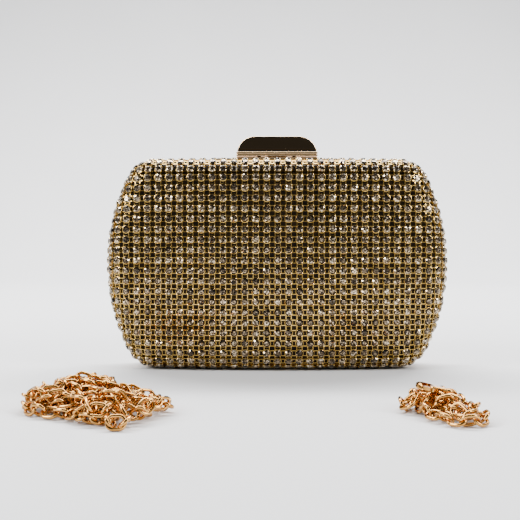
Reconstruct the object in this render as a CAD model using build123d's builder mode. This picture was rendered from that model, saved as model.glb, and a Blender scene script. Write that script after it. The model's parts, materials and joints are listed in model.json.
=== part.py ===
"""Box clutch evening bag: two domed halves hinged along the bottom, a tilting bar clasp on top,
a rhinestone mesh over each half, and two loose chains with lobster hooks.

Millimetres. +X right, +Z up, the front half on the -Y side. The origin is the middle of the bottom.
"""

import os

from build123d import *

os.makedirs("parts", exist_ok=True)

# the closed body, measured over the stones
BODY_WIDTH = 190.0
BODY_HEIGHT = 117.0
HALF_DEPTH = 25.0
SIDE_RADIUS = 110.0  # the bulge of each side
CORNER_RADIUS = 18.0
DOME_RADIUS = 600.0  # the bulge of each face
EDGE_ROUND = 13.0  # between a face and the side wall
SEAM_GAP = 0.15  # from the seam plane to each frame

# the layers, from the outside in
MESH_THICKNESS = 3.0
SHELL_THICKNESS = 2.0
LINING_THICKNESS = 1.0
FRAME_THICKNESS = 3.5
FRAME_BLOCK = 3.0  # depth of the frame's thick part
FRAME_LIP = 5.0  # depth of the lip inside the shell
SHELL_INSET = MESH_THICKNESS
LINING_INSET = SHELL_INSET + SHELL_THICKNESS
CAVITY_INSET = LINING_INSET + LINING_THICKNESS
FRAME_INNER_INSET = SHELL_INSET + FRAME_THICKNESS

# the two barrel hinges under the bottom seam
HINGE_X = 45.0
HINGE_Z = 1.5
BARREL_RADIUS = 1.3
HINGE_PIN_RADIUS = 0.6
KNUCKLES = 5
KNUCKLE_PITCH = 4.0
KNUCKLE_GAP = 0.1
LEAF_THICKNESS = 0.8
LEAF_INNER_Y = 1.6
LEAF_OUTER_Y = 6.5
MESH_SETBACK = 2.0  # of both stone meshes from the bottom seam, so that they turn clear
RIVET_RADIUS = 0.7
RIVET_HEAD_RADIUS = 1.1
RIVET_HEAD = 0.5
LEAF_RIVET_Y = 4.0
LEAF_RIVET_OFFSET = 6.0
RUNNING_GAP = 0.05
PRESS_GAP = 0.01

# the clasp on the top seam
CLASP_LENGTH = 45.5
PLATE_DEPTH = 6.0
CATCH_HEIGHT = 1.0
SADDLE_HEIGHT = 0.8
FOOT_LENGTH = 36.0
FOOT_NEAR_Y = 0.4
FOOT_FAR_Y = 2.9
SCREW_X = 14.0
SCREW_RADIUS = 0.8
SCREW_HEAD_RADIUS = 1.1
SCREW_HEAD = 1.0
SCREW_DEPTH = 0.5  # of each screw's end above the top seam
PLATE_CORNER = 1.5
PLATE_BEVEL = 0.3
SLOT_FLOOR = -0.4  # of the catch slot, from the top seam
SLOT_SIDE_ROOM = 1.0
TONGUE_THICKNESS = 0.4
TONGUE_HEIGHT = 1.4
BAR_BOTTOM = BODY_HEIGHT + 1.3
BAR_LIP = 2.5
BAR_TOP = BODY_HEIGHT + 13.0
BAR_FRONT_Y = -7.0
BAR_REAR_Y = 7.4
BAR_TOP_LENGTH = 24.5
BAR_TOP_FRONT_Y = -2.2
BAR_TOP_REAR_Y = 2.8
BAR_CORNER = 1.0
BAR_ROUND = 0.7  # between the bar's faces
BAR_STEP = 0.55  # from the lip's edge in to the sloping faces
LIP_ROUND = 0.3
LIP_BEADS = ((0.0, 0.95), (1.3, 2.5))  # heights of the lip's two beads above its bottom
GROOVE_DEPTH = 0.6
PIVOT_Y = 4.6
PIVOT_Z = BODY_HEIGHT + 3.2
PIVOT_PIN_RADIUS = 0.7
EAR_X = 10.0
EAR_THICKNESS = 2.0
EAR_RADIUS = 1.3
POCKET_HALF_DEPTH = 2.1  # of the bar's hollows for the ears and the spring
POCKET_RISE = 1.7  # of their rounded tops above the pivot
EAR_ROOM = 0.4
PIN_OVERHANG = 1.5  # of the pivot pin past each ear
HOOK_WIDTH = 10.0
HOOK_FRONT_Y = -3.4
HOOK_REAR_Y = -2.2
HOOK_SEAT = 2.4  # depth that the hook is let into the bar
HOOK_GROUND = 0.4  # of the hook's tip above the top seam
HOOK_BEVEL = 0.7
SLOT_FRONT_Y = -4.6
COIL_RADIUS = 1.15
COIL_WIRE_RADIUS = 0.2
COIL_PITCH = 0.65
COIL_LENGTH = 3.25

# the two chain rings inside the back half
BRACKET_X = 56.0
BRACKET_WIDTH = 10.0
BRACKET_THICKNESS = 1.0
LUG_THICKNESS = 1.2
LUG_Y = 2.9
LUG_RADIUS = 1.5
LUG_HOLE_RADIUS = 0.9
LUG_HOLE_DROP = 3.7
RING_RADIUS = 3.9
RING_WIRE_RADIUS = 0.6
BRACKET_RIVET_OFFSET = 3.3
BRACKET_RIVET_Y = 1.9

# a lobster hook, flat in its own plane, from its eye at the origin to its nose on +X
HOOK_PLATE = 2.6
HOOK_ROUND = 0.9
EYE_RADIUS = 2.0
EYE_HOLE_RADIUS = 1.0
CLAW_CENTRE = 9.0
CLAW_RADIUS = 4.3
CLAW_HOLE_RADIUS = 2.6
GATE_PIVOT = (5.9, 1.8)
GATE_PIN_RADIUS = 0.45
GATE_THICKNESS = 1.4
GATE_SLOT = 1.6
GATE_SLOT_RADIUS = 3.3
GATE_REACH = 5.65  # of the gap that the gate swings through
GATE_OUTER_RADIUS = 4.1
GATE_INNER_RADIUS = 2.85


def body_outline(inset):
    """The bag's outline from the front, moved inwards by inset."""
    corner_x = BODY_WIDTH / 2 - SIDE_RADIUS + (SIDE_RADIUS**2 - (BODY_HEIGHT / 2) ** 2) ** 0.5
    side_x = BODY_WIDTH / 2
    middle = BODY_HEIGHT / 2
    with BuildSketch() as outline:
        with BuildLine():
            Line((-corner_x, BODY_HEIGHT), (corner_x, BODY_HEIGHT))
            ThreePointArc((corner_x, BODY_HEIGHT), (side_x, middle), (corner_x, 0))
            Line((corner_x, 0), (-corner_x, 0))
            ThreePointArc((-corner_x, 0), (-side_x, middle), (-corner_x, BODY_HEIGHT))
        make_face()
        fillet(outline.vertices(), CORNER_RADIUS)
        if inset > 0:
            offset(amount=-inset, mode=Mode.REPLACE)
    return outline.sketch


def half_body(inset, start):
    """The front half as a solid from start behind the seam, its whole surface moved inwards."""
    with BuildPart() as half:
        with BuildSketch(Plane.XZ.offset(start)):
            add(body_outline(inset))
        extrude(amount=HALF_DEPTH - inset - start)
        with Locations((0, DOME_RADIUS - HALF_DEPTH, BODY_HEIGHT / 2)):
            Sphere(DOME_RADIUS - inset, mode=Mode.INTERSECT)
        dome = half.faces().filter_by(GeomType.SPHERE)[0]
        fillet(dome.edges(), EDGE_ROUND - inset)
    return half.part


def band(outer_inset, inner_inset, start, end):
    """A ring that follows the outline, from one depth behind the seam to another."""
    with BuildPart() as ring:
        with BuildSketch(Plane.XZ.offset(start)):
            add(body_outline(outer_inset))
            add(body_outline(inner_inset), mode=Mode.SUBTRACT)
        extrude(amount=end - start)
    return ring.part


def block(x_range, y_range, z_range):
    """A plain box between limits, for pockets and feet."""
    with BuildPart() as solid:
        with BuildSketch(Plane.XY.offset(z_range[0])):
            with Locations(((x_range[0] + x_range[1]) / 2, (y_range[0] + y_range[1]) / 2)):
                Rectangle(x_range[1] - x_range[0], y_range[1] - y_range[0])
        extrude(amount=z_range[1] - z_range[0])
    return solid.part


def upright_rods(places, radius, bottom, top):
    """Round rods along Z at (x, y) places."""
    with BuildPart() as rods:
        with BuildSketch(Plane.XY.offset(bottom)):
            with Locations(*places):
                Circle(radius)
        extrude(amount=top - bottom)
    return rods.part


def cross_rod(centre_x, y, z, radius, length):
    """A round rod along X."""
    with BuildPart() as rod:
        with BuildSketch(Plane(origin=(centre_x - length / 2, y, z), z_dir=(1, 0, 0))):
            Circle(radius)
        extrude(amount=length)
    return rod.part


def finish(part, name):
    """Label a piece and write it."""
    part.label = name
    export_step(part, f"parts/{name}.step")


leaf_rivets = {
    side: [
        (x + offset_x, side * LEAF_RIVET_Y)
        for x in (-HINGE_X, HINGE_X)
        for offset_x in (-LEAF_RIVET_OFFSET, LEAF_RIVET_OFFSET)
    ]
    for side in (-1, 1)
}
foot_middle_y = (FOOT_NEAR_Y + FOOT_FAR_Y) / 2
clasp_screws = {side: [(x, side * foot_middle_y) for x in (-SCREW_X, SCREW_X)] for side in (-1, 1)}
frame_bottom_inside = FRAME_INNER_INSET
frame_top_inside = BODY_HEIGHT - FRAME_INNER_INSET
frame_top_outside = BODY_HEIGHT - SHELL_INSET
leaf_half_width = KNUCKLES * KNUCKLE_PITCH / 2
bracket_rivets = [
    (x + offset_x, BRACKET_RIVET_Y)
    for x in (-BRACKET_X, BRACKET_X)
    for offset_x in (-BRACKET_RIVET_OFFSET, BRACKET_RIVET_OFFSET)
]

# the layers of each half: stone mesh, shell, frame and lining
for name, side in (("front", -1), ("back", 1)):
    with BuildPart() as stone_mesh:
        add(half_body(0, SEAM_GAP))
        add(half_body(SHELL_INSET, 0), mode=Mode.SUBTRACT)
        if side > 0:
            mirror(about=Plane.XZ, mode=Mode.REPLACE)
        setback = sorted((0, side * MESH_SETBACK))
        add(block((-BODY_WIDTH / 2, BODY_WIDTH / 2), setback, (0, SHELL_INSET)), mode=Mode.SUBTRACT)
        leaf_y = sorted((0, side * LEAF_OUTER_Y))
        leaf_z = (SHELL_INSET - LEAF_THICKNESS - RIVET_HEAD, SHELL_INSET)
        for x in (-HINGE_X, HINGE_X):
            leaf_x = (x - leaf_half_width, x + leaf_half_width)
            add(block(leaf_x, leaf_y, leaf_z), mode=Mode.SUBTRACT)
        foot_y = sorted((side * FOOT_NEAR_Y, side * FOOT_FAR_Y))
        foot_x = (-FOOT_LENGTH / 2, FOOT_LENGTH / 2)
        add(block(foot_x, foot_y, (frame_top_outside, BODY_HEIGHT)), mode=Mode.SUBTRACT)
    finish(stone_mesh.part, f"{name}_stone_mesh")

    with BuildPart() as shell:
        add(half_body(SHELL_INSET, FRAME_BLOCK))
        add(half_body(LINING_INSET, 0), mode=Mode.SUBTRACT)
        if side > 0:
            mirror(about=Plane.XZ, mode=Mode.REPLACE)
        rivet_holes = upright_rods(leaf_rivets[side], RIVET_RADIUS, 0, FRAME_INNER_INSET)
        add(rivet_holes, mode=Mode.SUBTRACT)
    finish(shell.part, f"{name}_shell")

    with BuildPart() as frame:
        add(band(SHELL_INSET, FRAME_INNER_INSET, SEAM_GAP, FRAME_BLOCK))
        add(band(LINING_INSET, FRAME_INNER_INSET, FRAME_BLOCK, FRAME_LIP))
        if side > 0:
            mirror(about=Plane.XZ, mode=Mode.REPLACE)
        add(rivet_holes, mode=Mode.SUBTRACT)
        screw_bottom = frame_top_inside - 1
        screw_holes = upright_rods(clasp_screws[side], SCREW_RADIUS, screw_bottom, BODY_HEIGHT)
        add(screw_holes, mode=Mode.SUBTRACT)
        if side > 0:
            bracket_holes = upright_rods(
                bracket_rivets, RIVET_RADIUS, screw_bottom, frame_top_outside
            )
            add(bracket_holes, mode=Mode.SUBTRACT)
    finish(frame.part, f"{name}_frame")

    with BuildPart() as lining:
        add(half_body(LINING_INSET, FRAME_LIP))
        add(half_body(CAVITY_INSET, 0), mode=Mode.SUBTRACT)
        if side > 0:
            mirror(about=Plane.XZ, mode=Mode.REPLACE)
    finish(lining.part, f"{name}_lining")

    with BuildPart() as rivets:
        head_bottom = SHELL_INSET - LEAF_THICKNESS - RIVET_HEAD
        neck_bottom = SHELL_INSET - LEAF_THICKNESS
        add(upright_rods(leaf_rivets[side], RIVET_HEAD_RADIUS, head_bottom, neck_bottom))
        add(upright_rods(leaf_rivets[side], RIVET_RADIUS, neck_bottom, frame_bottom_inside))
        head_top = frame_bottom_inside + RIVET_HEAD
        add(upright_rods(leaf_rivets[side], RIVET_HEAD_RADIUS, frame_bottom_inside, head_top))
    finish(rivets.part, f"{name}_hinge_rivets")

    with BuildPart() as screws:
        head_bottom = frame_top_inside - SCREW_HEAD
        screw_top = BODY_HEIGHT + SCREW_DEPTH
        add(upright_rods(clasp_screws[side], SCREW_HEAD_RADIUS, head_bottom, frame_top_inside))
        add(upright_rods(clasp_screws[side], SCREW_RADIUS, frame_top_inside, screw_top))
    finish(screws.part, f"{name}_clasp_screws")

# the hinges: front knuckles are the second and fourth, back knuckles the other three
for name, hinge_x in (("left", -HINGE_X), ("right", HINGE_X)):
    for half_name, side in (("front", -1), ("back", 1)):
        with BuildPart() as leaf:
            leaf_y = sorted((side * LEAF_INNER_Y, side * LEAF_OUTER_Y))
            leaf_x = (hinge_x - leaf_half_width, hinge_x + leaf_half_width)
            add(block(leaf_x, leaf_y, (SHELL_INSET - LEAF_THICKNESS, SHELL_INSET)))
            own_knuckles = [k for k in range(KNUCKLES) if (k % 2 == 1) == (side < 0)]
            for k in own_knuckles:
                knuckle_x = hinge_x + (k - (KNUCKLES - 1) / 2) * KNUCKLE_PITCH
                knuckle_length = KNUCKLE_PITCH - KNUCKLE_GAP
                tab_x = (knuckle_x - knuckle_length / 2, knuckle_x + knuckle_length / 2)
                tab_y = sorted((0, side * LEAF_INNER_Y))
                tab_z = (SHELL_INSET - LEAF_THICKNESS, HINGE_Z + BARREL_RADIUS)
                add(block(tab_x, tab_y, tab_z))
                add(cross_rod(knuckle_x, 0, HINGE_Z, BARREL_RADIUS, knuckle_length))
            bore = HINGE_PIN_RADIUS + (RUNNING_GAP if side < 0 else PRESS_GAP)
            bore_rod = cross_rod(hinge_x, 0, HINGE_Z, bore, 2 * leaf_half_width)
            add(bore_rod, mode=Mode.SUBTRACT)
            add(
                upright_rods(leaf_rivets[side], RIVET_RADIUS, 0, SHELL_INSET + 1),
                mode=Mode.SUBTRACT,
            )
        finish(leaf.part, f"{name}_hinge_{half_name}_leaf")
    with BuildPart() as hinge_pin:
        add(cross_rod(hinge_x, 0, HINGE_Z, HINGE_PIN_RADIUS, 2 * leaf_half_width))
    finish(hinge_pin.part, f"{name}_hinge_pin")

# the catch plate on the front frame, open at the rear so that the bar's hook can leave it
half_clasp = CLASP_LENGTH / 2
catch_top = BODY_HEIGHT + CATCH_HEIGHT
slot_half = HOOK_WIDTH / 2 + SLOT_SIDE_ROOM
slot_floor = BODY_HEIGHT + SLOT_FLOOR
plate_hole = (frame_top_outside - 1, BODY_HEIGHT + SCREW_DEPTH)
with BuildPart() as clasp_catch_plate:
    add(block((-half_clasp, half_clasp), (-PLATE_DEPTH, -SEAM_GAP), (BODY_HEIGHT, catch_top)))
    fillet(clasp_catch_plate.edges().filter_by(Axis.Z).group_by(Axis.Y)[0], PLATE_CORNER)
    top_edges = clasp_catch_plate.faces().sort_by(Axis.Z)[-1].edges()
    chamfer(top_edges.group_by(Axis.Y)[0], PLATE_BEVEL)
    foot_x = (-FOOT_LENGTH / 2, FOOT_LENGTH / 2)
    add(block(foot_x, (-FOOT_FAR_Y, -FOOT_NEAR_Y), (frame_top_outside, BODY_HEIGHT)))
    slot = block((-slot_half, slot_half), (SLOT_FRONT_Y, 0), (slot_floor, catch_top))
    add(slot, mode=Mode.SUBTRACT)
    holes = upright_rods(clasp_screws[-1], SCREW_RADIUS, *plate_hole)
    add(holes, mode=Mode.SUBTRACT)
finish(clasp_catch_plate.part, "clasp_catch_plate")

# the spring tongue that holds the hook: it stands on the slot floor behind the hook
with BuildPart() as clasp_catch_spring:
    tongue_front = HOOK_REAR_Y + 0.3
    tongue_y = (tongue_front, tongue_front + TONGUE_THICKNESS)
    add(block((-slot_half, slot_half), tongue_y, (slot_floor, slot_floor + TONGUE_HEIGHT)))
finish(clasp_catch_spring.part, "clasp_catch_spring")

# the saddle on the back frame, with the two ears that carry the pivot pin
saddle_top = BODY_HEIGHT + SADDLE_HEIGHT
with BuildPart() as clasp_saddle:
    add(block((-half_clasp, half_clasp), (SEAM_GAP, PLATE_DEPTH), (BODY_HEIGHT, saddle_top)))
    fillet(clasp_saddle.edges().filter_by(Axis.Z).group_by(Axis.Y)[-1], PLATE_CORNER)
    add(block(foot_x, (FOOT_NEAR_Y, FOOT_FAR_Y), (frame_top_outside, BODY_HEIGHT)))
    ear_y = (PIVOT_Y - EAR_RADIUS, PIVOT_Y + EAR_RADIUS)
    for x in (-EAR_X, EAR_X):
        add(block((x - EAR_THICKNESS / 2, x + EAR_THICKNESS / 2), ear_y, (saddle_top, PIVOT_Z)))
        add(cross_rod(x, PIVOT_Y, PIVOT_Z, EAR_RADIUS, EAR_THICKNESS))
    pivot_hole = cross_rod(0, PIVOT_Y, PIVOT_Z, PIVOT_PIN_RADIUS + PRESS_GAP, CLASP_LENGTH)
    add(pivot_hole, mode=Mode.SUBTRACT)
    holes = upright_rods(clasp_screws[1], SCREW_RADIUS, *plate_hole)
    add(holes, mode=Mode.SUBTRACT)
finish(clasp_saddle.part, "clasp_saddle")

pivot_pin_length = 2 * (EAR_X + EAR_THICKNESS / 2 + PIN_OVERHANG)
with BuildPart() as clasp_pivot_pin:
    add(cross_rod(0, PIVOT_Y, PIVOT_Z, PIVOT_PIN_RADIUS, pivot_pin_length))
finish(clasp_pivot_pin.part, "clasp_pivot_pin")

# the torsion spring round the pivot pin, its two ends pointing to the rear
with BuildPart() as clasp_spring:
    with BuildLine() as coil:
        Helix(
            pitch=COIL_PITCH,
            height=COIL_LENGTH,
            radius=COIL_RADIUS,
            center=(-COIL_LENGTH / 2, PIVOT_Y, PIVOT_Z),
            direction=(1, 0, 0),
        )
    with BuildSketch(Plane(origin=coil.line @ 0, z_dir=coil.line % 0)):
        Circle(COIL_WIRE_RADIUS)
    sweep()
finish(clasp_spring.part, "clasp_spring")

# the bar's pillow: flat sloping front and rear, and rounded ends
lip_top = BAR_BOTTOM + BAR_LIP
pillow_bottom = BAR_BOTTOM + LIP_BEADS[1][0]
pillow_half = half_clasp - BAR_STEP
slope_front = BAR_FRONT_Y + BAR_STEP
slope_rear = BAR_REAR_Y - BAR_STEP
with BuildPart() as pillow:
    with BuildSketch(Plane.XZ.offset(-slope_rear)):
        with BuildLine():
            top_line = Line((-BAR_TOP_LENGTH / 2, BAR_TOP), (BAR_TOP_LENGTH / 2, BAR_TOP))
            right_end = TangentArc(top_line @ 1, (pillow_half, lip_top), tangent=(1, 0))
            left_end = TangentArc(top_line @ 0, (-pillow_half, lip_top), tangent=(-1, 0))
            Polyline(
                right_end @ 1,
                (pillow_half, pillow_bottom),
                (-pillow_half, pillow_bottom),
                left_end @ 1,
            )
        make_face()
    extrude(amount=slope_rear - slope_front)
    with BuildSketch(Plane.YZ.offset(-half_clasp)):
        with BuildLine():
            Polyline(
                (slope_front, pillow_bottom),
                (slope_front, lip_top),
                (BAR_TOP_FRONT_Y, BAR_TOP),
                (BAR_TOP_REAR_Y, BAR_TOP),
                (slope_rear, lip_top),
                (slope_rear, pillow_bottom),
                (slope_front, pillow_bottom),
            )
        make_face()
    extrude(amount=CLASP_LENGTH, mode=Mode.INTERSECT)
    fillet(pillow.edges().filter_by_position(Axis.Z, lip_top + 0.1, BAR_TOP + 1), BAR_ROUND)

def lip_slab(inset, bottom, top, edge_round):
    """A rounded rectangle as long and as deep as the bar, moved inwards by inset."""
    with BuildPart() as slab:
        with BuildSketch(Plane.XY.offset(BAR_BOTTOM + bottom)):
            with Locations((0, (BAR_FRONT_Y + BAR_REAR_Y) / 2)):
                depth = BAR_REAR_Y - BAR_FRONT_Y
                RectangleRounded(CLASP_LENGTH - 2 * inset, depth - 2 * inset, BAR_CORNER - inset)
        extrude(amount=top - bottom)
        if edge_round > 0:
            fillet(slab.faces().filter_by(Axis.Z).edges(), edge_round)
    return slab.part


# the bar: the pillow on a lip of two beads, hollowed for the ears, the pin and the spring
with BuildPart() as clasp_bar:
    add(lip_slab(GROOVE_DEPTH, 0.5, BAR_LIP - 0.5, 0))
    for bead_bottom, bead_top in LIP_BEADS:
        add(lip_slab(0, bead_bottom, bead_top, LIP_ROUND))
    add(pillow.part)
    pocket_y = (PIVOT_Y - POCKET_HALF_DEPTH, PIVOT_Y + POCKET_HALF_DEPTH)
    ear_pocket = EAR_THICKNESS / 2 + EAR_ROOM
    coil_pocket = COIL_LENGTH / 2 + 1
    for x, half in ((-EAR_X, ear_pocket), (EAR_X, ear_pocket), (0, coil_pocket)):
        add(block((x - half, x + half), pocket_y, (BAR_BOTTOM, PIVOT_Z)), mode=Mode.SUBTRACT)
        add(cross_rod(x, PIVOT_Y, PIVOT_Z, POCKET_RISE, 2 * half), mode=Mode.SUBTRACT)
    pin_bore = PIVOT_PIN_RADIUS + RUNNING_GAP
    bore_length = pivot_pin_length + EAR_ROOM
    add(cross_rod(0, PIVOT_Y, PIVOT_Z, pin_bore, bore_length), mode=Mode.SUBTRACT)
    hook_x = (-HOOK_WIDTH / 2, HOOK_WIDTH / 2)
    hook_top = BAR_BOTTOM + HOOK_SEAT
    hook_seat = block(hook_x, (HOOK_FRONT_Y, HOOK_REAR_Y), (BAR_BOTTOM, hook_top))
    add(hook_seat, mode=Mode.SUBTRACT)
finish(clasp_bar.part, "clasp_bar")

with BuildPart() as clasp_hook:
    add(block(hook_x, (HOOK_FRONT_Y, HOOK_REAR_Y), (BODY_HEIGHT + HOOK_GROUND, hook_top)))
    tip = clasp_hook.faces().sort_by(Axis.Z)[0].edges().filter_by(Axis.X).sort_by(Axis.Y)[0]
    chamfer(tip, HOOK_BEVEL)
finish(clasp_hook.part, "clasp_hook")

# the ring brackets under the back frame's top, and the rings that hang in them
lug_hole_z = frame_top_inside - BRACKET_THICKNESS - LUG_HOLE_DROP
for name, bracket_x in (("left", -BRACKET_X), ("right", BRACKET_X)):
    with BuildPart() as bracket:
        plate_x = (bracket_x - BRACKET_WIDTH / 2, bracket_x + BRACKET_WIDTH / 2)
        plate_z = (frame_top_inside - BRACKET_THICKNESS, frame_top_inside)
        add(block(plate_x, (0.8, FRAME_LIP), plate_z))
        lug_x = (bracket_x - LUG_THICKNESS / 2, bracket_x + LUG_THICKNESS / 2)
        add(block(lug_x, (LUG_Y - LUG_RADIUS, LUG_Y + LUG_RADIUS), (lug_hole_z, plate_z[0])))
        add(cross_rod(bracket_x, LUG_Y, lug_hole_z, LUG_RADIUS, LUG_THICKNESS))
        lug_hole = cross_rod(bracket_x, LUG_Y, lug_hole_z, LUG_HOLE_RADIUS, LUG_THICKNESS + 1)
        add(lug_hole, mode=Mode.SUBTRACT)
        holes = upright_rods(bracket_rivets, RIVET_RADIUS, plate_z[0] - 1, plate_z[1] + 1)
        add(holes, mode=Mode.SUBTRACT)
    finish(bracket.part, f"{name}_ring_bracket")

    with BuildPart() as chain_ring:
        ring_centre = (bracket_x, LUG_Y, lug_hole_z - RING_RADIUS)
        with BuildSketch(Plane(origin=ring_centre, x_dir=(1, 0, 0), z_dir=(0, 0, 1))):
            with Locations((RING_RADIUS, 0)):
                Circle(RING_WIRE_RADIUS)
        revolve(axis=Axis(ring_centre, (0, 1, 0)))
    finish(chain_ring.part, f"{name}_chain_ring")

with BuildPart() as bracket_rivet_set:
    rivet_bottom = frame_top_inside - BRACKET_THICKNESS
    head_bottom = rivet_bottom - RIVET_HEAD
    add(upright_rods(bracket_rivets, RIVET_HEAD_RADIUS, head_bottom, rivet_bottom))
    add(upright_rods(bracket_rivets, RIVET_RADIUS, rivet_bottom, frame_top_outside))
finish(bracket_rivet_set.part, "ring_bracket_rivets")


def heap_cap(x, y, half_x, half_y, height):
    """The upper half of an ellipsoid, flat side on the floor."""
    with BuildPart() as cap:
        Sphere(1, arc_size1=0, align=(Align.CENTER, Align.CENTER, Align.MIN))
        scale(by=(half_x, half_y, height))
    return cap.part.moved(Location((x, y, 0)))


# each chain heap's outer shape, as caps of (x, y, half sizes)
SHOULDER_HEAP = ((-85, -108, 25, 22, 14.0), (-64, -124, 21, 25, 12.5))
WRIST_HEAP = ((60.5, -114, 14, 14, 9.5), (67, -129, 13, 15, 8.5))
for name, caps in (("shoulder_chain", SHOULDER_HEAP), ("wrist_chain", WRIST_HEAP)):
    with BuildPart() as heap:
        for cap_sizes in caps:
            add(heap_cap(*cap_sizes))
    finish(heap.part, name)

# a lobster hook: the cast body, open in the middle and between its nose and its gate's pivot
with BuildPart() as hook_body:
    with BuildSketch(Plane.XY.offset(-HOOK_PLATE / 2)):
        Circle(EYE_RADIUS)
        with Locations((CLAW_CENTRE, 0)):
            Circle(CLAW_RADIUS)
        with BuildLine():
            Polyline(
                (0, 1.6), (CLAW_CENTRE - 2, 3.4), (CLAW_CENTRE - 2, -3.4), (0, -1.6), (0, 1.6)
            )
        make_face()
    extrude(amount=HOOK_PLATE)
    fillet(hook_body.faces().filter_by(Axis.Z).edges(), HOOK_ROUND)
    with BuildSketch(Plane.XY.offset(-HOOK_PLATE)):
        Circle(EYE_HOLE_RADIUS)
        with Locations((CLAW_CENTRE, 0)):
            Circle(CLAW_HOLE_RADIUS)
        with Locations(GATE_PIVOT):
            Circle(GATE_PIN_RADIUS)
    extrude(amount=2 * HOOK_PLATE, mode=Mode.SUBTRACT)
    with BuildSketch(Plane.XY.offset(-HOOK_PLATE)):
        with Locations(GATE_PIVOT):
            Circle(GATE_REACH)
        with Locations((CLAW_CENTRE + 3.2, 5.9)):
            Rectangle(8.6, 10, mode=Mode.INTERSECT)
    extrude(amount=2 * HOOK_PLATE, mode=Mode.SUBTRACT)
    with BuildSketch(Plane.XY.offset(-GATE_SLOT / 2)):
        with Locations(GATE_PIVOT):
            Circle(GATE_SLOT_RADIUS)
    extrude(amount=GATE_SLOT, mode=Mode.SUBTRACT)

# its gate: an arc that closes the claw, the eye round its pivot and a thumb stud
with BuildPart() as hook_gate:
    with BuildSketch(Plane.XY.offset(-GATE_THICKNESS / 2)):
        with Locations((CLAW_CENTRE, 0)):
            Circle(GATE_OUTER_RADIUS)
            Circle(GATE_INNER_RADIUS, mode=Mode.SUBTRACT)
        with BuildLine():
            Polyline((CLAW_CENTRE, 0), (CLAW_CENTRE + 5.6, 10.5), (-3, 10.5), (CLAW_CENTRE, 0))
        make_face(mode=Mode.INTERSECT)
        with Locations(GATE_PIVOT):
            Circle(1.3)
        with Locations((CLAW_CENTRE - 2.2, 3.9)):
            Circle(0.9)
        with Locations(GATE_PIVOT):
            Circle(GATE_PIN_RADIUS + RUNNING_GAP, mode=Mode.SUBTRACT)
    extrude(amount=GATE_THICKNESS)

with BuildPart() as hook_gate_pin:
    with BuildSketch(Plane.XY.offset(-HOOK_PLATE / 2)):
        with Locations(GATE_PIVOT):
            Circle(GATE_PIN_RADIUS)
    extrude(amount=HOOK_PLATE)

# where each hook lies, its eye against its heap
HOOK_PLANES = {
    "shoulder_hook_left": Plane(origin=(-94, -86.5, 1.3), x_dir=(-0.2, 1, 0), z_dir=(0, 0, 1)),
    "shoulder_hook_right": Plane(origin=(-71, -88.6, 1.3), x_dir=(0.3, 1, 0), z_dir=(0, 0, 1)),
    "wrist_hook_left": Plane(origin=(66.5, -119, 9.1), x_dir=(-0.97, 0.1, 0.2), z_dir=(0.2, 0, 1)),
    "wrist_hook_right": Plane(origin=(69, -100.5, 1.3), x_dir=(0.4, 1, 0), z_dir=(0, 0, 1)),
}
for name, plane in HOOK_PLANES.items():
    finish(hook_body.part.moved(plane.location), name)
    finish(hook_gate.part.moved(plane.location), f"{name}_gate")
    finish(hook_gate_pin.part.moved(plane.location), f"{name}_gate_pin")
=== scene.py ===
"""Box clutch evening bag: rhinestone mesh, polished gold clasp and two heaped chains."""

import json
import math

import bpy
import numpy as np
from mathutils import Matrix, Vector


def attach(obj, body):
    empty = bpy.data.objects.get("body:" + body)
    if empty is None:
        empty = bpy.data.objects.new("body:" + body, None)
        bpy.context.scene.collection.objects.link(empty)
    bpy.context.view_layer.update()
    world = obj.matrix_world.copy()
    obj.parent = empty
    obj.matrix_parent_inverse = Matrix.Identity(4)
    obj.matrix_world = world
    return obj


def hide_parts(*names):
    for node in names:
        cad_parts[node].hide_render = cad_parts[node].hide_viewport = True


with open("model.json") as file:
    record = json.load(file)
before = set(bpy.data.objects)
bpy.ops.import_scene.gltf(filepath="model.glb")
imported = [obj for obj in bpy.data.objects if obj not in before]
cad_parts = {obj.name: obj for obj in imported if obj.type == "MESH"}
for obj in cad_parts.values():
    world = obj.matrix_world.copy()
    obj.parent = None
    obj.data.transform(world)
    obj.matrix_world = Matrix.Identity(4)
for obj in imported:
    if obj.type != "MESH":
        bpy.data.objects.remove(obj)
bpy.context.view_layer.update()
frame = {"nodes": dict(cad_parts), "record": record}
MM = 0.001

# the closed body's shape, in millimetres, as the CAD has it
HALF_WIDTH = 95.0
BODY_HEIGHT = 117.0
MID_HEIGHT = BODY_HEIGHT / 2
HALF_DEPTH = 25.0
SIDE_RADIUS = 110.0
CORNER_RADIUS = 18.0
DOME_RADIUS = 600.0
EDGE_ROUND = 13.0
SIDE_CENTRE_X = HALF_WIDTH - SIDE_RADIUS
CORNER_UP = MID_HEIGHT - CORNER_RADIUS
CORNER_X = SIDE_CENTRE_X + math.sqrt((SIDE_RADIUS - CORNER_RADIUS) ** 2 - CORNER_UP**2)
CORNER_ANGLE = math.atan2(CORNER_UP, CORNER_X - SIDE_CENTRE_X)

# the rhinestone mesh, in millimetres
PITCH_X = 5.88
PITCH_Z = 5.6
ROW_PHASE = 1.9  # height of the grid's middle row above mid height
STONE_RADIUS = 2.05
STONE_LEAN = 0.045  # how unevenly the stones sit in their cups
CUP_RADIUS = 2.25
CUP_SIDES = 16
BEAD_WIDTH = 1.2
BEAD_STEPS = 420  # along the bead
NET_OFFSET = 1.42  # of each bar of a pair from the cup's middle
NET_BAR = 0.22  # half of a bar's width
NET_TOP = -1.2
NET_BOTTOM = -1.8
SEAM_GAP = 0.25  # from the seam to the bead
HINGE_GAP = 1.85  # what the hinges add to it along the bottom
HINGE_TOP = 6.0
HINGE_BLEND = 4.0
BORDER_SPACING = 4.6  # the least between the middles of two stones
GRID_SPACING = 4.75
FILL_SPACING = 4.7
FILL_STEP = 1.3  # between the places that a filling stone may take
WRAP_REACH = 30  # how far the flat grid goes past the outline, to wrap round the wall
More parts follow.
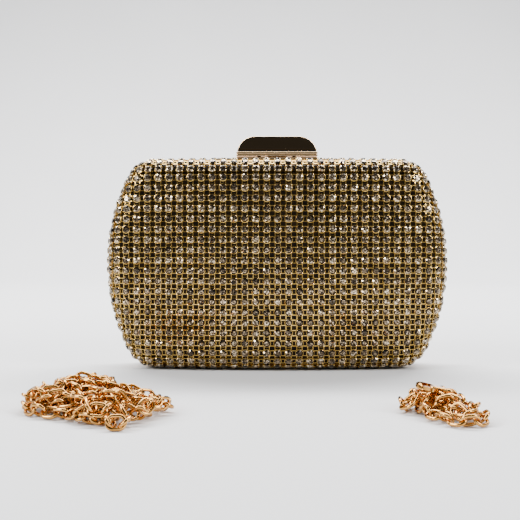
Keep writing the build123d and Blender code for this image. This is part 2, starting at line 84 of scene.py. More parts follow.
CLASP_CLEAR = (25.2, 8.6)  # no stones within this of the clasp's middle
CLASP_CLEAR_BOTTOM = 105


# ---------------------------------------------------------------- camera


CAMERA_PLACE = (-0.0095, -0.406, 0.067)
CAMERA_DOWN = 0.96  # degrees below level
LENS = 49.5
SENSOR = 36


def make_camera():
    """A nearly level view from just in front, at the bag's mid height."""
    data = bpy.data.cameras.new("camera")
    data.lens = LENS
    data.sensor_width = SENSOR
    camera = bpy.data.objects.new("camera", data)
    camera.location = CAMERA_PLACE
    camera.rotation_euler = (math.radians(90 - CAMERA_DOWN), 0, 0)
    bpy.context.collection.objects.link(camera)
    bpy.context.scene.camera = camera


# ---------------------------------------------------------------- materials


def new_material(name):
    """An empty node material with its Principled shader."""
    material = bpy.data.materials.new(name)
    material.use_nodes = True
    shader = material.node_tree.nodes["Principled BSDF"]
    return material, material.node_tree.nodes, material.node_tree.links, shader


def noise_ramp(nodes, links, scale, low, high):
    """Object-space noise through a two-stop ramp: returns the ramp's node."""
    place = nodes.new("ShaderNodeTexCoord")
    noise = nodes.new("ShaderNodeTexNoise")
    noise.inputs["Scale"].default_value = scale
    noise.inputs["Detail"].default_value = 4.0
    ramp = nodes.new("ShaderNodeValToRGB")
    ramp.color_ramp.elements[0].position = 0.3
    ramp.color_ramp.elements[1].position = 0.7
    ramp.color_ramp.elements[0].color = (*low, 1)
    ramp.color_ramp.elements[1].color = (*high, 1)
    links.new(place.outputs["Object"], noise.inputs["Vector"])
    links.new(noise.outputs["Fac"], ramp.inputs["Fac"])
    return ramp


def add_bump(nodes, links, shader, scale, strength, distance):
    """Fine bump from noise."""
    place = nodes.new("ShaderNodeTexCoord")
    noise = nodes.new("ShaderNodeTexNoise")
    noise.inputs["Scale"].default_value = scale
    noise.inputs["Detail"].default_value = 6.0
    bump = nodes.new("ShaderNodeBump")
    bump.inputs["Strength"].default_value = strength
    bump.inputs["Distance"].default_value = distance
    links.new(place.outputs["Object"], noise.inputs["Vector"])
    links.new(noise.outputs["Fac"], bump.inputs["Height"])
    links.new(bump.outputs["Normal"], shader.inputs["Normal"])


def metal(name, dark, light, smooth, rough, scale):
    """Plated metal: its tint and its shine both vary a little."""
    material, nodes, links, shader = new_material(name)
    shader.inputs["Metallic"].default_value = 1.0
    tint = noise_ramp(nodes, links, scale, dark, light)
    links.new(tint.outputs["Color"], shader.inputs["Base Color"])
    shine = noise_ramp(nodes, links, scale * 7, (smooth,) * 3, (rough,) * 3)
    links.new(shine.outputs["Color"], shader.inputs["Roughness"])
    return material


def crystal_material():
    """Foiled glass with the stones' own warm tint; each facet's brightness, from near-black to pale, is
    painted reflection picked at random.
    """
    material, nodes, links, shader = new_material("foiled_crystal")
    painted_glint = nodes.new("ShaderNodeAttribute")
    painted_glint.attribute_name = "facet_painted_glint"
    ramp = nodes.new("ShaderNodeValToRGB")
    stops = ramp.color_ramp.elements
    stops[0].position, stops[0].color = 0.0, (0.010, 0.007, 0.004, 1)
    stops[1].position, stops[1].color = 1.0, (0.97, 0.84, 0.64, 1)
    for position, colour in (
        (0.35, (0.053, 0.037, 0.020, 1)),
        (0.6, (0.21, 0.15, 0.09, 1)),
        (0.8, (0.60, 0.45, 0.27, 1)),
    ):
        stop = stops.new(position)
        stop.color = colour
    links.new(painted_glint.outputs["Fac"], ramp.inputs["Fac"])
    links.new(ramp.outputs["Color"], shader.inputs["Base Color"])
    shader.inputs["Metallic"].default_value = 0.9
    shader.inputs["Roughness"].default_value = 0.07
    shader.inputs["Coat Weight"].default_value = 0.3
    shader.inputs["Coat Roughness"].default_value = 0.02
    return material


def satin_material():
    """Champagne satin with a fine twill weave."""
    material, nodes, links, shader = new_material("champagne_satin")
    tint = noise_ramp(nodes, links, 18, (0.46, 0.36, 0.22), (0.58, 0.47, 0.31))
    links.new(tint.outputs["Color"], shader.inputs["Base Color"])
    shader.inputs["Roughness"].default_value = 0.42
    shader.inputs["Sheen Weight"].default_value = 0.5
    place = nodes.new("ShaderNodeTexCoord")
    weave = nodes.new("ShaderNodeTexWave")
    weave.inputs["Scale"].default_value = 900
    weave.inputs["Distortion"].default_value = 1.5
    weave.bands_direction = "DIAGONAL"
    bump = nodes.new("ShaderNodeBump")
    bump.inputs["Strength"].default_value = 0.25
    bump.inputs["Distance"].default_value = 0.0002
    links.new(place.outputs["Object"], weave.inputs["Vector"])
    links.new(weave.outputs["Fac"], bump.inputs["Height"])
    links.new(bump.outputs["Normal"], shader.inputs["Normal"])
    return material


def shell_material():
    """The moulded shells seen between the stones, near-black with a bronze tint: painted shade for the
    pits between the cups.
    """
    material, nodes, links, shader = new_material("shell_painted_shade")
    # near-black base colour: painted shade in the pits between the stones
    tint = noise_ramp(nodes, links, 110, (0.004, 0.002, 0.0005), (0.028, 0.015, 0.003))
    links.new(tint.outputs["Color"], shader.inputs["Base Color"])
    shader.inputs["Metallic"].default_value = 0.2
    shader.inputs["Roughness"].default_value = 0.55
    shader.inputs["Specular IOR Level"].default_value = 0.2
    add_bump(nodes, links, shader, 700, 0.15, 0.0002)
    return material


# ---------------------------------------------------------------- the rhinestone surface


def contour_frame(a, b):
    """For flat places (a, b) in mm: nearest inner contour point, outward direction, distance past it.

    The inner contour is the outline moved in by the edge rounding. b is measured from mid height."""
    sign_x, sign_z = np.where(a < 0, -1.0, 1.0), np.where(b < 0, -1.0, 1.0)
    x, z = np.abs(a), np.abs(b)
    top = MID_HEIGHT - EDGE_ROUND
    side_x, side_r = x - SIDE_CENTRE_X, SIDE_RADIUS - EDGE_ROUND
    side_d = np.hypot(side_x, z)
    on_side = np.arctan2(z, side_x) <= CORNER_ANGLE
    on_top = (x <= CORNER_X) & ~(on_side & (side_d - side_r > z - top))
    corner_d = np.maximum(np.hypot(x - CORNER_X, z - CORNER_UP), 1e-9)
    corner_r = CORNER_RADIUS - EDGE_ROUND
    out_x = np.where(on_top, 0.0, np.where(on_side, side_x / side_d, (x - CORNER_X) / corner_d))
    out_z = np.where(on_top, 1.0, np.where(on_side, z / side_d, (z - CORNER_UP) / corner_d))
    past = np.where(on_top, z - top, np.where(on_side, side_d - side_r, corner_d - corner_r))
    near_x, near_z = x - out_x * past, z - out_z * past
    return near_x * sign_x, near_z * sign_z, out_x * sign_x, out_z * sign_z, past


def wrap_lengths(near_x, near_z, out_x, out_z):
    """Along one contour normal: start tilt, flat run, arc length, and depth of the arc's centre."""
    tilt = np.arcsin(np.clip((near_x * out_x + near_z * out_z) / DOME_RADIUS, -0.9, 0.9))
    flat_run = EDGE_ROUND * np.sin(tilt)
    arc = EDGE_ROUND * (math.pi / 2 - tilt)
    centre_depth = HALF_DEPTH - EDGE_ROUND
    centre_depth = centre_depth - (near_x**2 + near_z**2) / (2 * (DOME_RADIUS - EDGE_ROUND))
    return tilt, flat_run, arc, centre_depth


def surface(a, b, side):
    """Outer surface of one half, in mm, at flat places (a, b) that wrap over the rounded edge."""
    a, b = np.asarray(a, float), np.asarray(b, float)
    near_x, near_z, out_x, out_z, past = contour_frame(a, b)
    tilt, flat_run, arc, centre_depth = wrap_lengths(near_x, near_z, out_x, out_z)
    angle = tilt + np.clip(past - flat_run, 0, arc) / EDGE_ROUND
    down_wall = np.maximum(past - flat_run - arc, 0)
    wrapped_out = EDGE_ROUND * np.sin(angle)
    wrapped_depth = centre_depth + EDGE_ROUND * np.cos(angle) - down_wall
    on_face = past <= flat_run
    x = np.where(on_face, a, near_x + out_x * wrapped_out)
    z = np.where(on_face, b, near_z + out_z * wrapped_out)
    dome_depth = HALF_DEPTH - (a**2 + b**2) / (2 * DOME_RADIUS)
    depth = np.where(on_face, dome_depth, wrapped_depth)
    return np.stack([x, side * depth, z + MID_HEIGHT], axis=-1)


def surface_axes(a, b, side):
    """Unit axes along the rows, along the columns and out of the surface."""
    step = 0.05
    along = surface(a + step, b, side) - surface(a - step, b, side)
    up = surface(a, b + step, side) - surface(a, b - step, side)
    along /= np.linalg.norm(along, axis=-1, keepdims=True)
    up -= along * np.sum(along * up, axis=-1, keepdims=True)
    up /= np.linalg.norm(up, axis=-1, keepdims=True)
    out = np.cross(along, up) * -side
    return along, up, out


def outline_walk(count):
    """Evenly spaced inner contour points and normals, from the top's middle clockwise."""
    corner_r = CORNER_RADIUS - EDGE_ROUND
    samples = []
    for x in np.linspace(0, CORNER_X, 400):
        samples.append((x, MID_HEIGHT - EDGE_ROUND, 0, 1))
    for t in np.linspace(math.pi / 2, CORNER_ANGLE, 200)[1:]:
        c, s = math.cos(t), math.sin(t)
        samples.append((CORNER_X + corner_r * c, CORNER_UP + corner_r * s, c, s))
    for t in np.linspace(CORNER_ANGLE, 0, 400)[1:]:
        c, s = math.cos(t), math.sin(t)
        radius = SIDE_RADIUS - EDGE_ROUND
        samples.append((SIDE_CENTRE_X + radius * c, radius * s, c, s))
    quarter = np.array(samples)
    lower = quarter[::-1][1:] * (1, -1, 1, -1)
    right = np.vstack([quarter, lower])
    left = right[::-1][1:-1] * (-1, 1, -1, 1)
    loop = np.vstack([right, left])
    outer = loop[:, :2] + EDGE_ROUND * loop[:, 2:]
    steps = np.linalg.norm(np.roll(outer, -1, axis=0) - outer, axis=1)
    run = np.concatenate([[0], np.cumsum(steps)])
    closed = np.vstack([loop, loop[:1]])
    at = np.arange(count) * run[-1] / count
    return np.stack([np.interp(at, run, closed[:, k]) for k in range(4)], axis=1), run[-1]


def past_for_depth(near, depth):
    """How far past the inner contour the wall is at a given depth from the seam."""
    _, flat_run, arc, centre_depth = wrap_lengths(*near.T)
    return flat_run + arc + centre_depth - depth


def seam_depth(z):
    """Where the mesh's edge bead starts: close to the seam, further back along the hinged bottom."""
    low = np.clip((HINGE_TOP - z) / HINGE_BLEND, 0, 1)
    return SEAM_GAP + HINGE_GAP * low * low * (3 - 2 * low)


def stone_places(side):
    """Flat places of every stone on one half.

    A border row along the seam comes first, then the square grid, then the stones that fill the
    gaps between the two on the side wall. A stone too near one already kept is left out."""
    _, perimeter = outline_walk(4)
    border, _ = outline_walk(round(perimeter / PITCH_X))
    outer_z = border[:, 1] + EDGE_ROUND * border[:, 3] + MID_HEIGHT
    depth = seam_depth(outer_z) + BEAD_WIDTH + CUP_RADIUS
    past = past_for_depth(border, depth)
    border_flat = border[:, :2] + border[:, 2:] * past[:, None]
    reach_x = int((HALF_WIDTH + WRAP_REACH) / PITCH_X)
    reach_z = int((MID_HEIGHT + WRAP_REACH) / PITCH_Z)
    columns = np.arange(-reach_x, reach_x + 1) * PITCH_X
    rows = ROW_PHASE + np.arange(-reach_z, reach_z + 1) * PITCH_Z
    grid = np.array([(a, b) for a in columns for b in rows])
    fill_x = np.arange(-HALF_WIDTH - 24, HALF_WIDTH + 24, FILL_STEP)
    fill_z = np.arange(-MID_HEIGHT - 26, MID_HEIGHT + 26, FILL_STEP)
    fill = np.array([(a, b) for a in fill_x for b in fill_z])
    fill_past = contour_frame(fill[:, 0], fill[:, 1])[4]
    on_wall = fill_past > 2
    candidates = [border_flat]
    for flat in (grid, fill[on_wall]):
        near = np.stack(contour_frame(flat[:, 0], flat[:, 1]), axis=1)
        near_depth = seam_depth(near[:, 1] + EDGE_ROUND * near[:, 3] + MID_HEIGHT)
        limit = past_for_depth(near[:, :4], near_depth + BEAD_WIDTH + CUP_RADIUS)
        inside = flat[near[:, 4] < limit - 0.2]
        candidates.append(inside[np.argsort(np.hypot(inside[:, 0], inside[:, 1]))])
    kept, places = np.zeros((0, 3)), []
    for flat, spacing in zip(candidates, (BORDER_SPACING, GRID_SPACING, FILL_SPACING)):
        points = surface(flat[:, 0], flat[:, 1], side)
        for place, point in zip(flat, points):
            near_middle = abs(point[0]) < CLASP_CLEAR[0] and abs(point[1]) < CLASP_CLEAR[1]
            if near_middle and point[2] > CLASP_CLEAR_BOTTOM:
                continue
            if len(kept) and np.min(np.sum((kept - point) ** 2, axis=1)) < spacing**2:
                continue
            kept = np.vstack([kept, point])
            places.append(place)
    return np.array(places)


def spread_template(template, faces, origins, axes, spins=None):
    """Copies of one small template at many places: all vertices, and all faces."""
    along, up, out = axes
    verts = np.asarray(template, float)
    if spins is not None:
        cos, sin = np.cos(spins)[:, None], np.sin(spins)[:, None]
        local_x = verts[None, :, 0] * cos - verts[None, :, 1] * sin
        local_y = verts[None, :, 0] * sin + verts[None, :, 1] * cos
    else:
        local_x = np.repeat(verts[None, :, 0], len(origins), axis=0)
        local_y = np.repeat(verts[None, :, 1], len(origins), axis=0)
    points = (
        origins[:, None, :]
        + local_x[..., None] * along[:, None, :]
        + local_y[..., None] * up[:, None, :]
        + verts[None, :, 2, None] * out[:, None, :]
    )
    all_faces = []
    for k in range(len(origins)):
        base = k * len(verts)
        all_faces.extend([tuple(base + i for i in face) for face in faces])
    return points.reshape(-1, 3), all_faces


def mesh_object(name, verts_mm, faces, material, smooth):
    """A mesh object from millimetre vertices."""
    mesh = bpy.data.meshes.new(name)
    mesh.from_pydata((np.asarray(verts_mm) * MM).tolist(), [], faces)
    mesh.polygons.foreach_set("use_smooth", [smooth] * len(mesh.polygons))
    mesh.materials.append(material)
    mesh.update()
    piece = bpy.data.objects.new(name, mesh)
    bpy.context.collection.objects.link(piece)
    return piece


def ring(radius, height, count, turn=0.0):
    """Points of a level circle."""
    angles = turn + np.arange(count) * 2 * math.pi / count
    return [(radius * math.cos(t), radius * math.sin(t), height) for t in angles]


def stone_template():
    """A round foiled stone's crown: table, star, kite and girdle facets.

    The table is cut up by the pavilion's facets, which show through it."""
    verts = [(0, 0, -0.16)]
    verts += ring(0.58, -0.10, 8, math.pi / 8)
    verts += ring(1.12, -0.12, 8)
    verts += ring(1.68, -0.42, 8, math.pi / 8)
    verts += ring(STONE_RADIUS, -1.0, 16)
    inner, table, crown, girdle = 1, 9, 17, 25
    faces = []
    for k in range(8):
        after, before = (k + 1) % 8, (k - 1) % 8
        faces.append((0, inner + k, inner + after))
        faces.append((inner + k, table + k, table + after))
        faces.append((inner + k, table + after, inner + after))
        faces.append((table + k, crown + k, table + after))
        faces.append((table + k, crown + before, girdle + 2 * k, crown + k))
        faces.append((crown + k, girdle + 2 * k, girdle + 2 * k + 1))
        faces.append((crown + k, girdle + 2 * k + 1, girdle + (2 * k + 2) % 16))
    return verts, faces


def cup_template():
    """A brass cup, its four prongs, and its part of the net of paired bars.

    Gives the vertices, the faces, and 1 for each face of a prong and 0 for the others."""
    count = CUP_SIDES
    verts = ring(2.0, -1.02, count) + ring(CUP_RADIUS, -1.1, count) + ring(2.1, -2.8, count)
    faces = []
    for k in range(count):
        after = (k + 1) % count
        faces.append((k, count + k, count + after, after))
        faces.append((count + k, 2 * count + k, 2 * count + after, count + after))
    first_prong = len(faces)
    for quarter in range(4):
        angle = math.pi / 4 + quarter * math.pi / 2
        radial = np.array([math.cos(angle), math.sin(angle), 0])
        across = np.array([-math.sin(angle), math.cos(angle), 0])
        base = len(verts)
        sections = ((2.12, -1.9, 0.33), (2.12, -1.0, 0.34), (2.0, -0.66, 0.27))
        for out_at, height, size in sections:
            for t in np.arange(6) * math.pi / 3:
                point = radial * (out_at + size * math.cos(t)) + across * size * math.sin(t)
                verts.append((point[0], point[1], height))
        tip = radial * 1.88
        verts.append((tip[0], tip[1], -0.52))
        for level in range(2):
            for k in range(6):
                low, high = base + 6 * level, base + 6 * level + 6
                faces.append((low + k, low + (k + 1) % 6, high + (k + 1) % 6, high + k))
        for k in range(6):
            faces.append((base + 12 + k, base + 12 + (k + 1) % 6, base + 18))
    past_prongs = len(faces)
    bar_section = ((-NET_BAR, NET_BOTTOM), (-NET_BAR, NET_TOP), (NET_BAR, NET_TOP), (NET_BAR, NET_BOTTOM))
    for across_axis in (0, 1):
        half = (PITCH_X if across_axis == 0 else PITCH_Z) / 2
        for offset in (-NET_OFFSET, NET_OFFSET):
            base = len(verts)
            for end in (-half, half):
                for shift, height in bar_section:
                    flat = (end, offset + shift) if across_axis == 0 else (offset + shift, end)
                    verts.append((flat[0], flat[1], height))
            for k in range(3):
                face = (base + k, base + k + 1, base + 5 + k, base + 4 + k)
                faces.append(face[::-1] if across_axis == 0 else face)
    is_prong = [int(first_prong <= k < past_prongs) for k in range(len(faces))]
    return verts, faces, is_prong


def bead_mesh(side):
    """The rounded gold bead along the mesh's edge at the seam: vertices and faces."""
    walk, _ = outline_walk(BEAD_STEPS)
    outer = walk[:, :2] + EDGE_ROUND * walk[:, 2:]
    start = seam_depth(outer[:, 1] + MID_HEIGHT)
    rising = [(0.0, 2.9), (0.0, 1.5), (0.25, 1.0)]
    falling = [(BEAD_WIDTH - depth, inset) for depth, inset in rising[::-1]]
    profile = rising + [(BEAD_WIDTH / 2, 0.8)] + falling
    verts, faces = [], []
    for k in range(BEAD_STEPS):
        for depth, inset in profile:
            place = outer[k] - walk[k, 2:] * inset
            verts.append((place[0], side * (start[k] + depth), place[1] + MID_HEIGHT))
    size = len(profile)
    for k in range(BEAD_STEPS):
        for j in range(size):
            a, b = k * size + j, k * size + (j + 1) % size
            after = ((k + 1) % BEAD_STEPS) * size
            c, d = after + (j + 1) % size, after + j
            faces.append((a, b, c, d) if side < 0 else (d, c, b, a))
    return verts, faces


def make_stone_mesh(half, side, crystal, cup_gold_painted_shade, prong_gold_painted_highlight, bead_gold):
    """Every stone, cup and prong on one half, and the bead along its edge."""
    body = f"{half}_case"
    flat = stone_places(side)
    a, b = flat.T
    origins = surface(a, b, side)
    along, up, out = surface_axes(a, b, side)
    random = np.random.default_rng(11 + side)
    verts, faces, is_prong = cup_template()
    points, all_faces = spread_template(verts, faces, origins, (along, up, out))
    cups = mesh_object(f"{half}_stone_cups", points, all_faces, cup_gold_painted_shade, False)
    # the prong faces take the lighter gold: a painted highlight on the prongs
    cups.data.materials.append(prong_gold_painted_highlight)
    cups.data.polygons.foreach_set("material_index", is_prong * len(origins))
    lean = random.normal(0, STONE_LEAN, (len(origins), 2))
    tilted = out + along * lean[:, :1] + up * lean[:, 1:]
    tilted /= np.linalg.norm(tilted, axis=1, keepdims=True)
    level = along - tilted * np.sum(along * tilted, axis=1, keepdims=True)
    level /= np.linalg.norm(level, axis=1, keepdims=True)
    third = np.cross(tilted, level) * -side
    spins = random.uniform(0, 2 * math.pi, len(origins))
    verts, faces = stone_template()
    points, all_faces = spread_template(verts, faces, origins, (level, third, tilted), spins)
    stones = mesh_object(f"{half}_crystals", points, all_faces, crystal, False)
    # each facet gets a random brightness, shifted a little per stone: painted reflections standing in for
    # the stones' sparkle
    stone_glint_shift = random.normal(0.0, 0.10, len(origins))
    painted_glint = np.clip(random.beta(1.1, 1.5, (len(origins), len(faces))) + stone_glint_shift[:, None], 0, 1)
    attribute = stones.data.attributes.new("facet_painted_glint", "FLOAT", "FACE")
    attribute.data.foreach_set("value", painted_glint.ravel())
    verts, faces = bead_mesh(side)
    bead = mesh_object(f"{half}_seam_bead", verts, faces, bead_gold, True)
    for piece in (cups, stones, bead):
        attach(piece, body)
        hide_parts(f"{half}_stone_mesh")


# ---------------------------------------------------------------- chains

# in millimetres
LINK_LENGTH = 8.4
LINK_WIDTH = 6.4
LINK_WIRE = 1.4
LINK_PITCH = LINK_LENGTH - 2 * LINK_WIRE
CHAIN_GAP = 4.7  # between the middles of two strands that touch
FLOOR_GAP = 2.6  # from the floor to the lowest chain's middle
SLACK = 1.04  # joints for each length of chain, because the smooth line cuts their corners
SINK_STEP = 0.22  # how far the chain drops at each step of settling
SETTLE_STEPS = 160
# each heap: its outer shape as caps of (x, y, half sizes, height), and where its two hooks' eyes are
HEAPS = {
    "shoulder_chain": {
        "caps": ((-85, -108, 25, 22, 14.0), (-64, -124, 21, 25, 12.5)),
        "ends": ((-94, -86.5, 2.2), (-71, -88.6, 2.2)),
        "length": 1200.0,
        "hooks": ("shoulder_hook_left", "shoulder_hook_right"),
        "seed": 4,
    },
    "wrist_chain": {
        "caps": ((60.5, -114, 14, 14, 9.5), (67, -129, 13, 15, 8.5)),
        "ends": ((66.5, -119, 9.1), (69, -100.5, 2.2)),
        "length": 390.0,
        "hooks": ("wrist_hook_left", "wrist_hook_right"),
        "seed": 9,
    },
}


def poured_start(heap, count, random):
    """The chain's joints before settling: loose loops laid one above another over the heap."""
    caps = heap["caps"]
    weights = np.array([cap[2] * cap[3] * cap[4] for cap in caps], float)
    weights /= weights.sum()
    at = np.array(caps[0][:2], float)
    heading = random.uniform(0, 2 * math.pi)
    turn = 0.4
    points = []
    for k in range(count):
        if k % 14 == 0:
            target = caps[random.choice(len(caps), p=weights)]
            goal = np.array(target[:2]) + random.uniform(-0.55, 0.55, 2) * target[2:4]
            turn = random.choice((-1, 1)) * random.uniform(0.25, 0.6)
        pull = goal - at
        aim = math.atan2(pull[1], pull[0])
        ease = math.sin(aim - heading) * min(np.linalg.norm(pull) / 12, 1) * 0.45
        heading += turn * 0.6 + ease
        at = at + LINK_PITCH * np.array([math.cos(heading), math.sin(heading)])
        height = FLOOR_GAP + 1.3 * max(cap[4] for cap in caps) * k / count
        points.append((at[0], at[1], height))
    return np.array(points)


def settle(heap, points, steps):
    """Lets the chain sink into its heap: links keep their pitch, strands rest on strands."""
    caps = np.array(heap["caps"], float)
    ends = np.array(heap["ends"], float)
    count = len(points)
    first, second = np.triu_indices(count, 3)
    for _ in range(steps):
        points[:, 2] -= SINK_STEP
        for _ in range(5):  # rounds of putting right
            gap = points[second] - points[first]
            distance = np.linalg.norm(gap, axis=1)
            close = distance < CHAIN_GAP
            i, j = first[close], second[close]
            d = np.maximum(distance[close], 1e-6)[:, None]
            push = 0.5 * (CHAIN_GAP - d) * gap[close] / d
            np.add.at(points, j, 0.7 * push)
            np.add.at(points, i, -0.7 * push)
            for skip, low, high in ((1, LINK_PITCH, LINK_PITCH), (2, 1.6 * LINK_PITCH, 1e9)):
                for start in range(skip + 1):
                    i = np.arange(start, count - skip, skip + 1)
                    link = points[i + skip] - points[i]
                    d = np.maximum(np.linalg.norm(link, axis=1), 1e-6)[:, None]
                    wanted = np.clip(d, low, high)
                    fix = 0.5 * (d - wanted) * link / d
                    points[i] += fix
                    points[i + skip] -= fix
            flat = (points[:, None, :2] - caps[None, :, :2]) / (caps[None, :, 2:4] - 2.0)
            level = points[:, None, 2] / (caps[None, :, 4] - 1.5)
            out = np.sqrt(np.sum(flat**2, axis=2) + level**2)
            nearest = np.argmin(out, axis=1)
            far = out[np.arange(count), nearest]
            centre = np.column_stack([caps[nearest, :2], np.zeros(count)])
            outside = far > 1
            shrink = 1 - 0.25 * (1 - 1 / far[outside])[:, None]
            points[outside] = centre[outside] + (points[outside] - centre[outside]) * shrink
            points[:, 2] = np.maximum(points[:, 2], FLOOR_GAP)
            points[0], points[-1] = ends[0], ends[1]
    return points


def route_samples(name, points_mm):
    """The chain's smooth line: a NURBS spline with the joints as its control points."""
    curve = bpy.data.curves.new(f"{name}_route", "CURVE")
    curve.dimensions = "3D"
    spline = curve.splines.new("NURBS")
    spline.points.add(len(points_mm) - 1)
    for point, place in zip(spline.points, points_mm * MM):
        point.co = (*place, 1)
    spline.order_u = 3
    spline.use_endpoint_u = True
    spline.resolution_u = 5
    route = bpy.data.objects.new(f"{name}_route", curve)
    bpy.context.collection.objects.link(route)
    depsgraph = bpy.context.evaluated_depsgraph_get()
    mesh = bpy.data.meshes.new_from_object(route.evaluated_get(depsgraph))
    samples = np.array([v.co[:] for v in mesh.vertices]) / MM
    bpy.data.objects.remove(route)
    bpy.data.meshes.remove(mesh)
    return samples


def link_template():
    """One oval link with its long side on X, flat in X and Y: vertices and faces."""
    wire = LINK_WIRE / 2
    end = LINK_WIDTH / 2 - wire
    straight = LINK_LENGTH / 2 - wire - end
    around, section = 20, 8
    path = []
    for k in range(around):
        t = 2 * math.pi * k / around
        path.append((end * math.cos(t) + math.copysign(straight, math.cos(t)), end * math.sin(t)))
    verts, faces = [], []
    for k, (x, y) in enumerate(path):
        t = 2 * math.pi * k / around
        normal = np.array([math.cos(t), math.sin(t), 0])
        for j in range(section):
            s = 2 * math.pi * j / section
            verts.append((x, y, 0) + wire * (math.cos(s) * normal + math.sin(s) * np.array([0, 0, 1])))
    for k in range(around):
        for j in range(section):
            a, b = k * section + j, k * section + (j + 1) % section
            after = ((k + 1) % around) * section
            faces.append((a, after + j, after + (j + 1) % section, b))
    return verts, faces


def make_chain(name, chain_gold):
    """One heaped cable chain, from the eye of one lobster hook to the eye of the other."""
    heap = HEAPS[name]
    random = np.random.default_rng(heap["seed"])
    count = round(heap["length"] * SLACK / LINK_PITCH)
    points = poured_start(heap, count, random)
    points = settle(heap, points, SETTLE_STEPS)
    samples = route_samples(name, points)
    steps = np.linalg.norm(np.diff(samples, axis=0), axis=1)
    run = np.concatenate([[0], np.cumsum(steps)])
    links = int(run[-1] / LINK_PITCH)
    ends = np.linspace(0, run[-1], links + 1)
    joints = np.stack([np.interp(ends, run, samples[:, k]) for k in range(3)], axis=1)
    middles = (joints[1:] + joints[:-1]) / 2
    along = joints[1:] - joints[:-1]
    along /= np.linalg.norm(along, axis=1, keepdims=True)
    upright = np.array([0, 0, 1.0]) - along * along[:, 2:3]
    upright /= np.maximum(np.linalg.norm(upright, axis=1, keepdims=True), 1e-6)
    sideways = np.cross(upright, along)
    twist = np.cumsum(random.normal(0, 0.12, links))
    twist -= np.convolve(twist, np.ones(25) / 25, mode="same")
    roll = math.pi / 4 + math.pi / 2 * (np.arange(links) % 2) + twist + random.normal(0, 0.15, links)
    face_dir = np.cos(roll)[:, None] * upright + np.sin(roll)[:, None] * sideways
    flat_dir = np.cross(face_dir, along)
    verts, faces = link_template()
    all_points, all_faces = spread_template(verts, faces, middles, (along, flat_dir, face_dir))
    each = all_points.reshape(links, -1, 3)
    each[:, :, 2] += np.maximum(0.05 - each[:, :, 2].min(axis=1), 0)[:, None]
    chain = mesh_object(f"{name}_links", all_points, all_faces, chain_gold, True)
    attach(chain, name)
    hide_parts(name)


# ---------------------------------------------------------------- stage and light


def area_light(name, place, aim, size, power):
    """A rectangular softbox that faces a point."""
    data = bpy.data.lights.new(name, "AREA")
    data.shape = "RECTANGLE"
    data.size, data.size_y = size
    data.energy = power
    light = bpy.data.objects.new(name, data)
    light.location = place
    light.rotation_mode = "QUATERNION"
    light.rotation_quaternion = (Vector(aim) - Vector(place)).to_track_quat("-Z", "Y")
    bpy.context.collection.objects.link(light)


FLOOR_REACH = 3000.0
FLOOR_END = 900.0  # where the floor starts to curve up, and the curve's radius
CURVE_STEPS = 24


def make_sweep():
    """The pale floor, which curves up into a wall behind the bag; its colour is painted darker up the
    wall as painted shade.
    """
    profile = [(-FLOOR_REACH, 0.0), (FLOOR_END, 0.0)]
    for k in range(1, CURVE_STEPS + 1):
        t = k / CURVE_STEPS * math.pi / 2
        profile.append((FLOOR_END + FLOOR_END * math.sin(t), FLOOR_END - FLOOR_END * math.cos(t)))
    profile.append((2 * FLOOR_END, FLOOR_REACH))
    verts, faces = [], []
    for y, z in profile:
        verts.extend([(-FLOOR_REACH, y, z), (FLOOR_REACH, y, z)])
    for k in range(len(profile) - 1):
        faces.append((2 * k, 2 * k + 1, 2 * k + 3, 2 * k + 2))
    material, nodes, links, shader = new_material("pale_paper")
    tint = noise_ramp(nodes, links, 3, (0.86, 0.86, 0.87), (0.89, 0.89, 0.90))
    place = nodes.new("ShaderNodeTexCoord")
    split = nodes.new("ShaderNodeSeparateXYZ")
    # painted shade: the paper's colour falls from full at the floor to 0.45 of it at 1.1 m up the wall
    painted_wall_shade = nodes.new("ShaderNodeMapRange")
    painted_wall_shade.interpolation_type = "SMOOTHSTEP"
    painted_wall_shade.inputs["From Min"].default_value = 0.0
    painted_wall_shade.inputs["From Max"].default_value = 1.1
    painted_wall_shade.inputs["To Min"].default_value = 1.0
    painted_wall_shade.inputs["To Max"].default_value = 0.45
    paint = nodes.new("ShaderNodeVectorMath")
    paint.operation = "SCALE"
    links.new(place.outputs["Object"], split.inputs["Vector"])
    links.new(split.outputs["Z"], painted_wall_shade.inputs["Value"])
    links.new(tint.outputs["Color"], paint.inputs[0])
    links.new(painted_wall_shade.outputs["Result"], paint.inputs["Scale"])
    links.new(paint.outputs["Vector"], shader.inputs["Base Color"])
    shader.inputs["Roughness"].default_value = 1.0
    shader.inputs["Specular IOR Level"].default_value = 0.1
    sweep = mesh_object("studio_sweep", verts, faces, material, True)
    sweep.location.z = -0.00005  # just below the bag, so that the two don't share a plane


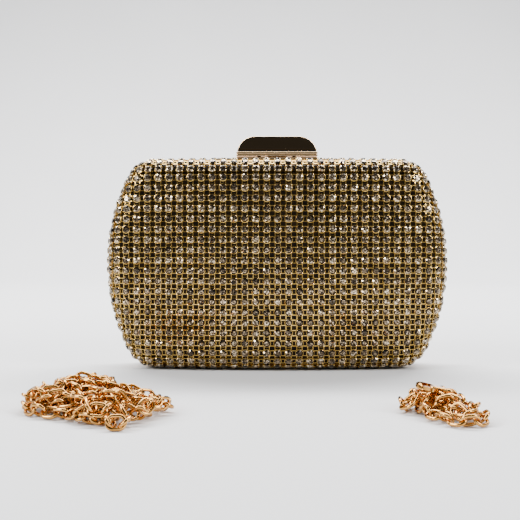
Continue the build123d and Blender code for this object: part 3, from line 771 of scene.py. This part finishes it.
def make_world():
    """Dim room light, brighter from behind, with a dark patch above the front."""
    world = bpy.data.worlds.new("studio")
    bpy.context.scene.world = world
    world.use_nodes = True
    nodes, links = world.node_tree.nodes, world.node_tree.links
    place = nodes.new("ShaderNodeTexCoord")
    strengths = []
    for direction, low, high, from_value, to_value in (
        ((0, 1, 0), -0.2, 0.8, 0.28, 1.5),
        ((0, -0.33, 0.944), 0.80, 0.97, 1.0, 0.10),
    ):
        facing = nodes.new("ShaderNodeVectorMath")
        facing.operation = "DOT_PRODUCT"
        facing.inputs[1].default_value = direction
        ramp = nodes.new("ShaderNodeMapRange")
        ramp.interpolation_type = "SMOOTHSTEP"
        ramp.inputs["From Min"].default_value = low
        ramp.inputs["From Max"].default_value = high
        ramp.inputs["To Min"].default_value = from_value
        ramp.inputs["To Max"].default_value = to_value
        links.new(place.outputs["Generated"], facing.inputs[0])
        links.new(facing.outputs["Value"], ramp.inputs["Value"])
        strengths.append(ramp)
    both = nodes.new("ShaderNodeMath")
    both.operation = "MULTIPLY"
    for k, ramp in enumerate(strengths):
        links.new(ramp.outputs["Result"], both.inputs[k])
    background = nodes["Background"]
    background.inputs["Color"].default_value = (0.95, 0.97, 1.0, 1)
    links.new(both.outputs["Value"], background.inputs["Strength"])


def make_lights():
    """A wall light, a softbox above and behind, and one on each side."""
    area_light("wall_light", (0.0, 0.7, 1.4), (0, 1.6, 0.15), (3.0, 0.5), 90)
    area_light("back_softbox", (0.0, 0.40, 0.85), (0, -0.05, 0.0), (1.6, 0.4), 16)
    area_light("left_softbox", (-0.70, -0.35, 0.50), (0, 0, 0.05), (0.25, 0.45), 7)
    area_light("right_softbox", (0.70, -0.40, 0.45), (0, 0, 0.05), (0.2, 0.35), 5)


# ---------------------------------------------------------------- put together

make_camera()

gold = metal("polished_gold", (0.88, 0.60, 0.33), (0.92, 0.66, 0.38), 0.05, 0.10, 25)
rose = metal("rose_gold_links", (0.46, 0.22, 0.055), (0.71, 0.38, 0.11), 0.09, 0.18, 300)
# the cups and net take a darker copy of the gold as painted shade, and the prongs a lighter copy as
# painted highlight
cup_gold_painted_shade = metal("cup_gold_painted_shade", (0.36, 0.215, 0.045), (0.66, 0.44, 0.13), 0.16, 0.30, 200)
prong_gold_painted_highlight = metal("prong_gold_painted_highlight", (0.72, 0.50, 0.17), (0.95, 0.72, 0.32), 0.10, 0.20, 200)
steel = metal("bare_steel", (0.50, 0.50, 0.50), (0.62, 0.62, 0.63), 0.22, 0.35, 250)
satin = satin_material()
shell = shell_material()
crystal = crystal_material()

SLOT_MATERIALS = {
    "polished_gold": gold,
    "chain_gold": rose,
    "bare_steel": steel,
    "satin_lining": satin,
    "case_shell": shell,
    "crystal_mesh": crystal,
}

for name in HEAPS:
    make_chain(name, rose)
for half, side in (("front", -1), ("back", 1)):
    make_stone_mesh(half, side, crystal, cup_gold_painted_shade, prong_gold_painted_highlight, gold)

for part in frame["record"]["subparts"]:
    node = frame["nodes"][part["node"]]
    for slot in node.material_slots:
        slot.material = SLOT_MATERIALS[part["material_slot"]]

make_sweep()
make_world()
make_lights()
